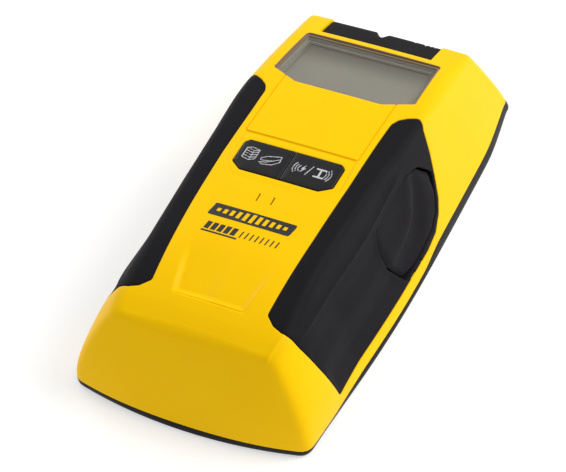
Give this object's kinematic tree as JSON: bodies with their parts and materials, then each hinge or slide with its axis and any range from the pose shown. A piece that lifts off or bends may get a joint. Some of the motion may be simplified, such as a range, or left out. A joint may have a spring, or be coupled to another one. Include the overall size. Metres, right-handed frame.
{
  "type": "stud finder",
  "caption": "Handheld electronic stud finder with an arched shell, flat sensing base, display window, two front keys, soft side grips with side buttons, and a marking channel.",
  "frame": {"origin": "middle of the footprint, on the surface the base plate lies on", "axes": "+Y along the length towards the display and marking end, +X to the right side, +Z out of the front"},
  "size_m": [0.0822, 0.1728, 0.0393],
  "materials": {
    "housing": "satin moulded yellow",
    "base": "moulded black, fine texture",
    "grip": "soft overmoulding, matt",
    "key": "matt black, white symbols",
    "lens": "clear window",
    "cap": "moulded black",
    "board": "green circuit board",
    "component": "moulded component",
    "switch_case": "moulded",
    "plunger": "moulded white",
    "lcd": "display glass with a grey polariser",
    "frame": "moulded white",
    "foam": "foam",
    "copper": "copper",
    "winding": "enamelled copper wire",
    "ferrite": "ferrite, matt",
    "battery": "printed metal jacket, plain",
    "terminal": "nickel plated",
    "lead_red": "insulated wire",
    "lead_black": "insulated wire",
    "screw": "zinc plated"
  },
  "bodies": {
    "housing": {"front_housing": "housing", "base_plate": "base", "right_grip": "grip", "left_grip": "grip", "lcd_lens": "lens", "marking_cap": "cap", "stud_key_switch": "switch_case", "metal_key_switch": "switch_case", "right_side_switch": "switch_case", "left_side_switch": "switch_case", "main_board": "board", "sensor_board": "board", "microcontroller": "component", "buzzer": "component", "board_link": "component", "lcd_glass": "lcd", "lcd_frame": "frame", "lcd_connector": "foam", "metal_coil": "winding", "coil_core": "ferrite", "battery": "battery", "battery_stud_terminal": "terminal", "battery_socket_terminal": "terminal", "snap_connector": "component", "red_lead": "lead_red", "black_lead": "lead_black", "sensor_plate_1": "copper", "board_screw_1": "screw", "housing_screw_1": "screw", "sensor_plate_2": "copper", "board_screw_2": "screw", "housing_screw_2": "screw", "sensor_plate_3": "copper", "board_screw_3": "screw", "housing_screw_3": "screw", "sensor_plate_4": "copper", "board_screw_4": "screw", "housing_screw_4": "screw", "sensor_screw_1": "screw", "sensor_screw_2": "screw"},
    "stud_key": {"stud_key": "key", "stud_key_plunger": "plunger"},
    "metal_key": {"metal_key": "key", "metal_key_plunger": "plunger"},
    "right_side_button": {"right_side_button": "grip", "right_side_plunger": "plunger"},
    "left_side_button": {"left_side_button": "grip", "left_side_plunger": "plunger"},
    "battery_door": {"battery_door": "base", "battery_foam_pad": "foam"}
  },
  "joints": [
    {"name": "stud_key_press", "type": "slide", "parent": "housing", "child": "stud_key", "axis": [0, 0, -1], "range_m": [0, 0.0009], "stiffness_N_per_m": 600},
    {"name": "metal_key_press", "type": "slide", "parent": "housing", "child": "metal_key", "axis": [0, 0, -1], "range_m": [0, 0.0009], "stiffness_N_per_m": 600},
    {"name": "right_button_press", "type": "slide", "parent": "housing", "child": "right_side_button", "axis": [-1, 0, 0], "range_m": [0, 0.0012], "stiffness_N_per_m": 600},
    {"name": "left_button_press", "type": "slide", "parent": "housing", "child": "left_side_button", "axis": [1, 0, 0], "range_m": [0, 0.0012], "stiffness_N_per_m": 600},
    {"name": "battery_door_hinge", "type": "hinge", "parent": "housing", "child": "battery_door", "pos_m": [0, -0.0225, 0.001], "axis": [1, 0, 0], "range_deg": [0, 95]}
  ]
}
